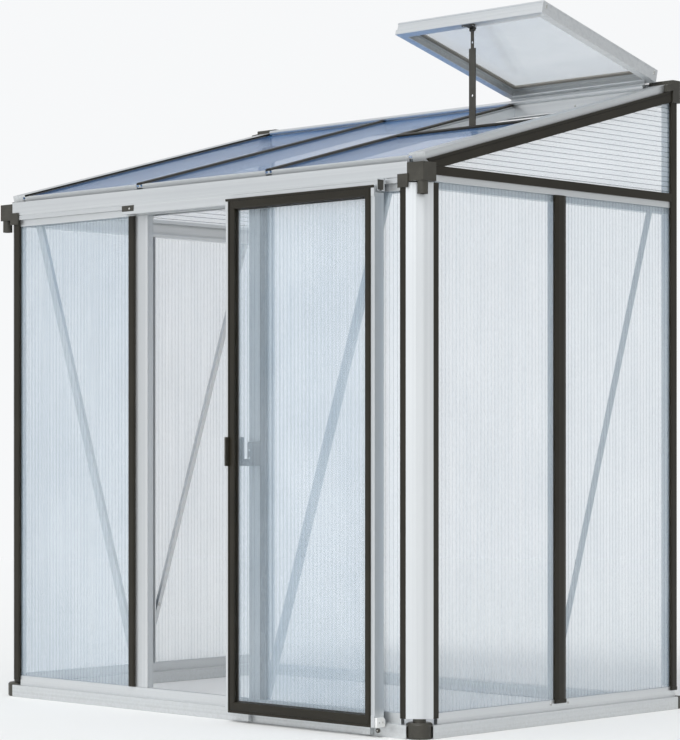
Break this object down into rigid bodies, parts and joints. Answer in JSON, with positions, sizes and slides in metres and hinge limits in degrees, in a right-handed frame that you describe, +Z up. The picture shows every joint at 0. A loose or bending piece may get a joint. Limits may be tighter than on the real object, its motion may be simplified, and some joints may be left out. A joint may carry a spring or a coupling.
{
  "type": "lean-to greenhouse",
  "caption": "Lean-to greenhouse with slotted aluminium bars, twin-wall sheets, a sliding door, a gutter and a propped roof vent.",
  "frame": {"origin": "on the floor, below the middle of the whole object's box", "axes": "+Z up, +Y towards the house wall behind, the doorway faces -Y, +X to the right seen from the doorway"},
  "size_m": [1.966, 1.323, 2.2459],
  "materials": {
    "silver_aluminium": "satin anodised extrusion",
    "bronze_strip": "dark bronze powder coat, low sheen",
    "black_plastic": "moulded, fine grain",
    "white_plastic": "moulded nylon",
    "twin_wall_sheet": "translucent twin-wall sheet with fine flutes",
    "clear_sheet": "clear smooth sheet"
  },
  "bodies": {
    "frame": {"base_front": "silver_aluminium", "base_rear": "silver_aluminium", "base_left": "silver_aluminium", "base_right": "silver_aluminium", "corner_post_left": "silver_aluminium", "corner_post_right": "silver_aluminium", "door_jamb_left": "silver_aluminium", "door_jamb_right": "silver_aluminium", "front_header": "silver_aluminium", "gutter": "silver_aluminium", "ridge_rail": "silver_aluminium", "rafter_left": "silver_aluminium", "rafter_right": "silver_aluminium", "door_track": "silver_aluminium", "brace_front_left": "silver_aluminium", "brace_front_right": "silver_aluminium", "brace_side_left": "silver_aluminium", "brace_side_right": "silver_aluminium", "side_bar_left": "bronze_strip", "side_bar_right": "bronze_strip", "wall_post_left": "bronze_strip", "wall_post_right": "bronze_strip", "side_rail_left": "bronze_strip", "side_rail_right": "bronze_strip", "rafter_mid_left": "bronze_strip", "rafter_mid_right": "bronze_strip", "vent_sill": "bronze_strip", "foot_front_left": "black_plastic", "foot_front_right": "black_plastic", "base_end_left": "black_plastic", "base_end_right": "black_plastic", "gutter_outlet_left": "black_plastic", "gutter_outlet_right": "black_plastic", "ridge_cap_left": "black_plastic", "ridge_cap_right": "black_plastic", "front_panel_left": "twin_wall_sheet", "front_panel_right": "twin_wall_sheet", "side_panel_left_front": "twin_wall_sheet", "side_panel_left_rear": "twin_wall_sheet", "side_panel_right_front": "twin_wall_sheet", "side_panel_right_rear": "twin_wall_sheet", "gable_panel_left": "twin_wall_sheet", "gable_panel_right": "twin_wall_sheet", "roof_panel_left": "clear_sheet", "roof_panel_mid": "clear_sheet", "roof_panel_right": "clear_sheet"},
    "door": {"door_stile_left": "bronze_strip", "door_stile_right": "bronze_strip", "door_top_rail": "bronze_strip", "door_bottom_rail": "bronze_strip", "door_panel": "twin_wall_sheet", "door_handle": "black_plastic", "door_hanger_left": "silver_aluminium", "door_hanger_right": "silver_aluminium"},
    "roller_left": {"door_roller_left": "white_plastic"},
    "roller_right": {"door_roller_right": "white_plastic"},
    "vent": {"vent_frame": "silver_aluminium", "vent_pane": "clear_sheet", "vent_bracket": "black_plastic"},
    "stay": {"vent_stay": "black_plastic"}
  },
  "joints": [
    {"name": "door_slide", "type": "slide", "parent": "frame", "child": "door", "axis": [1, 0, 0], "range_m": [-0.512, 0.04]},
    {"name": "roller_left_spin", "type": "hinge", "parent": "door", "child": "roller_left", "pos_m": [0.272, -0.6193, 1.6273], "axis": [0, 1, 0], "continuous": true},
    {"name": "roller_right_spin", "type": "hinge", "parent": "door", "child": "roller_right", "pos_m": [0.752, -0.6193, 1.6273], "axis": [0, 1, 0], "continuous": true},
    {"name": "vent_hinge", "type": "hinge", "parent": "frame", "child": "vent", "pos_m": [0.611, 0.5975, 2.0384], "axis": [-1, 0, 0], "range_deg": [-30.9, 0]},
    {"name": "stay_swing", "type": "hinge", "parent": "vent", "child": "stay", "pos_m": [0.611, 0.04325, 2.19], "axis": [1, 0, 0], "range_deg": [0, 68]}
  ],
  "couplings": [
    {"joint": "roller_left_spin", "follows": "door_slide", "rad_per_m": 83.333},
    {"joint": "roller_right_spin", "follows": "door_slide", "rad_per_m": 83.333}
  ]
}
